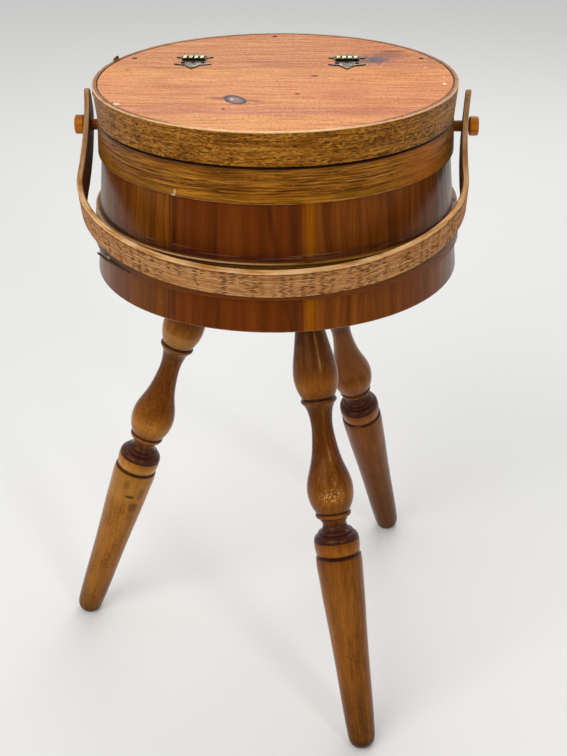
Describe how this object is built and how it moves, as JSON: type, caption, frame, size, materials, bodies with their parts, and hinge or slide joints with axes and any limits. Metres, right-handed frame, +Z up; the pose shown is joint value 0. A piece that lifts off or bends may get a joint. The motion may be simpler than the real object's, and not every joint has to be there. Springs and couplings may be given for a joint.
{
  "type": "sewing tub on legs",
  "caption": "Round coopered sewing tub on splayed turned legs, with bent hoops, a bail handle on pegs and a hinged front lid.",
  "frame": {"origin": "on the floor, under the middle of the whole piece's bounding box", "axes": "+Z up, -Y towards the front where the lid opens, +X to the right seen from the front; the pegs and the hinge line run along X"},
  "size_m": [0.3826, 0.375, 0.5699],
  "materials": {
    "stave_wood": "glossy red-brown stained wood, varnished",
    "hoop_oak": "satin golden-brown oak with open grain",
    "band_oak": "satin olive-brown oak with open grain",
    "lid_pine": "satin orange-brown stained pine",
    "bottom_wood": "bare pale pine",
    "handle_oak": "dry pinkish-tan bent oak",
    "peg_wood": "satin orange-yellow turned wood",
    "leg_maple": "glossy honey-brown turned wood",
    "hinge_brass": "antique brass, darkened",
    "hinge_pin_brass": "worn brass",
    "plate_steel": "zinc-plated sheet steel",
    "nail_steel": "darkened steel"
  },
  "bodies": {
    "tub": {"stave_1": "stave_wood", "stave_2": "stave_wood", "stave_3": "stave_wood", "stave_4": "stave_wood", "stave_5": "stave_wood", "stave_6": "stave_wood", "stave_7": "stave_wood", "bottom_board": "bottom_wood", "upper_hoop": "hoop_oak", "lower_hoop": "hoop_oak", "rear_board": "lid_pine", "rear_band": "band_oak", "rear_board_nails": "nail_steel", "rear_band_brads": "nail_steel", "hoop_tacks": "nail_steel", "rear_leaf_left": "hinge_brass", "rear_leaf_right": "hinge_brass", "hinge_pin_left": "hinge_pin_brass", "hinge_pin_right": "hinge_pin_brass", "rear_hinge_nails": "nail_steel", "peg_left": "peg_wood", "peg_right": "peg_wood", "leg_left": "leg_maple", "leg_front": "leg_maple", "leg_right": "leg_maple", "leg_plate_left": "plate_steel", "leg_plate_front": "plate_steel", "leg_plate_right": "plate_steel", "hanger_bolts": "nail_steel", "plate_screws": "nail_steel"},
    "lid": {"front_board": "lid_pine", "front_band": "band_oak", "front_band_brads": "nail_steel", "front_leaf_left": "hinge_brass", "front_leaf_right": "hinge_brass", "front_hinge_nails": "nail_steel"},
    "handle": {"handle": "handle_oak"}
  },
  "joints": [
    {"name": "lid_hinge", "type": "hinge", "parent": "tub", "child": "lid", "pos_m": [0.02009, 0.05468, 0.5676], "axis": [-1, 0, 0], "range_deg": [0, 180]},
    {"name": "handle_swing", "type": "hinge", "parent": "tub", "child": "handle", "pos_m": [0.02009, 0.00568, 0.5235], "axis": [-1, 0, 0], "range_deg": [0, 227.8]}
  ]
}
